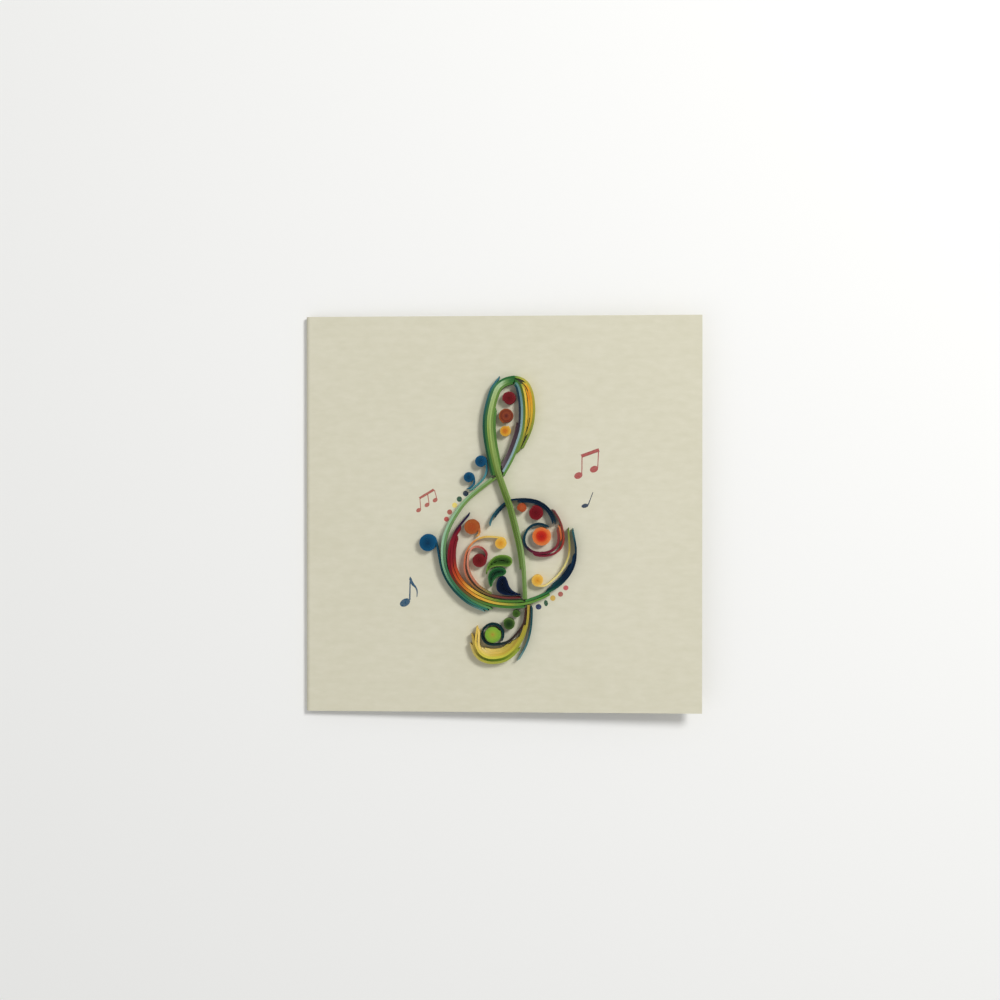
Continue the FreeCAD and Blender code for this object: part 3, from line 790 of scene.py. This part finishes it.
DOTS = (
    ("navy", (-14.1, 7.8), 2.1, 2.1, 0.0, "#1C3450"),
    ("green", (-16.5, 5.7), 2.0, 2.1, 0.0, "#22503C"),
    ("yellow", (-18.3, 3.4), 1.9, 2.0, 0.0, "#E8D070"),
    ("brown", (-20.2, 0.8), 1.9, 2.0, 0.0, "#A8584C"),
    ("red", (-21.4, -1.9), 1.9, 1.9, 0.0, "#B8504C"),
    ("low_navy", (13.5, -35.0), 2.2, 2.1, 0.0, "#1E2E5A"),
    ("low_green", (16.3, -33.6), 1.5, 2.3, 10.0, "#1E5038"),
    ("low_ochre", (18.9, -31.7), 2.0, 2.1, 0.0, "#CDA84E"),
    ("low_brown", (21.8, -30.2), 1.9, 1.9, 0.0, "#A85A50"),
    ("low_crimson", (23.8, -27.8), 2.0, 1.9, 0.0, "#C25A5E"),
)
for name, at, length, width, turn, hex_colour in DOTS:
    printed(name + "_dot", hex_colour, [ink_spot(name, at, length, width, turn)])

printed("three_notes", "#AC5C52", [
    ink_spot("head", (-32.0, 1.5), 2.0, 1.5, 35.0),
    ink_spot("head", (-28.8, 3.5), 2.0, 1.5, 35.0),
    ink_spot("head", (-25.7, 5.3), 2.0, 1.5, 35.0),
    ink_line("beam", [(-31.7, 6.0), (-26.2, 9.3)], (0.85, 0.95)),
    ink_line("stem", [(-31.5, 5.9), (-31.2, 1.8)], (0.3, 0.3)),
    ink_line("stem", [(-28.6, 7.8), (-28.0, 3.8)], (0.3, 0.3)),
    ink_line("stem", [(-26.0, 9.2), (-25.0, 5.6)], (0.3, 0.3)),
])
printed("two_notes", "#A8504E", [
    ink_spot("head", (28.5, 14.6), 3.2, 2.4, 25.0),
    ink_spot("head", (34.4, 17.0), 3.2, 2.4, 25.0),
    ink_line("beam", [(29.6, 21.9), (36.3, 24.3)], (1.3, 1.3)),
    ink_line("stem", [(29.9, 21.8), (29.8, 15.2)], (0.4, 0.35)),
    ink_line("stem", [(36.1, 24.0), (35.8, 17.6)], (0.4, 0.35)),
])
printed("quarter_note", "#1E3450", [
    ink_spot("head", (31.0, 3.2), 2.7, 1.5, 12.0),
    ink_line("stem", [(32.2, 3.6), (33.1, 5.8), (34.0, 8.3)], (0.4, 0.25, 0.3)),
])
printed("eighth_note", "#27506C", [
    ink_spot("head", (-37.2, -33.6), 4.2, 2.8, 30.0),
    ink_line("stem", [(-35.4, -32.6), (-35.2, -23.8)], (0.55, 0.45)),
    ink_line("flag",
             [(-35.2, -24.4), (-34.6, -26.4), (-33.2, -27.6), (-32.4, -29.3), (-32.7, -31.5)],
             (0.9, 1.2, 0.7, 0.5, 0.25)),
])

# The set: a plain pale floor, one large soft lamp high at the upper right, a weak one
# opposite and an even white surround. Far from the card the floor glows for the camera,
# so that it runs on into the surround.

FLOOR = "#F4F4F2"
FLOOR_SIDE_M = 6.0
GLOW_BEGINS_M = 0.3
GLOW_FULL_M = 0.9
bpy.ops.object.select_all(action="DESELECT")
bpy.ops.mesh.primitive_plane_add(size=FLOOR_SIDE_M, location=(0.0, 0.0, 0.0))
floor = bpy.context.object
floor.name = "floor"
paint = new_material("matt_floor_paint")
matt = add(paint, "ShaderNodeBsdfDiffuse", inputs={"Color": linear(FLOOR)})
glow = add(paint, "ShaderNodeEmission", inputs={"Color": linear(FLOOR)})
away = add(paint, "ShaderNodeVectorMath", {"operation": "LENGTH"}, {
    0: add(paint, "ShaderNodeTexCoord").outputs["Object"]}).outputs["Value"]
faded = add(paint, "ShaderNodeMapRange", inputs={
    "Value": away, "From Min": GLOW_BEGINS_M, "From Max": GLOW_FULL_M}).outputs["Result"]
seen = add(paint, "ShaderNodeLightPath").outputs["Is Camera Ray"]
share = add(paint, "ShaderNodeMath", {"operation": "MULTIPLY"}, {0: faded, 1: seen}).outputs[0]
output(paint, add(paint, "ShaderNodeMixShader", inputs={
    0: share, 1: matt.outputs[0], 2: glow.outputs[0]}))
floor.data.materials.append(paint)


def lamp(name, place, size, power):
    """A round soft lamp that faces the middle of the floor."""
    bpy.ops.object.light_add(type="AREA", location=place)
    light = bpy.context.object
    light.name = name
    light.data.shape = "DISK"
    light.data.size = size
    light.data.energy = power
    light.rotation_euler = (-Vector(place)).to_track_quat("-Z", "Y").to_euler()


lamp("key", place=(0.62, 0.55, 1.0), size=0.38, power=10.6)
lamp("fill", place=(-0.8, -0.5, 1.1), size=1.2, power=2.0)

SURROUND_LIGHT = 0.45
SURROUND_SEEN = 0.9            # the surround as the camera sees it, near white
world = bpy.data.worlds.new("studio")
bpy.context.scene.world = world
world.use_nodes = True
surround = world.node_tree.nodes["Background"]
surround.inputs["Color"].default_value = (1.0, 1.0, 1.0, 1.0)
seen = add(world, "ShaderNodeLightPath").outputs["Is Camera Ray"]
level = add(world, "ShaderNodeMapRange", inputs={
    "Value": seen, "To Min": SURROUND_LIGHT, "To Max": SURROUND_SEEN}).outputs["Result"]
world.node_tree.links.new(level, surround.inputs["Strength"])

# The camera hangs almost straight over the card, where the photograph was taken from.

FOCAL_PIXELS = 1236.0
PHOTO_PIXELS = 1000.0
SENSOR_MM = 36.0
CAMERA_AT_MM = (-1.8, 7.9, 474.0)
CAMERA_TILT_DEGREES = (-0.31, -0.07, 0.01)
bpy.ops.object.camera_add(
    location=[along * MM for along in CAMERA_AT_MM],
    rotation=[math.radians(tilt) for tilt in CAMERA_TILT_DEGREES])
camera = bpy.context.object
camera.data.sensor_width = SENSOR_MM
camera.data.lens = SENSOR_MM * FOCAL_PIXELS / PHOTO_PIXELS
bpy.context.scene.camera = camera
bpy.context.scene.view_settings.view_transform = "Standard"
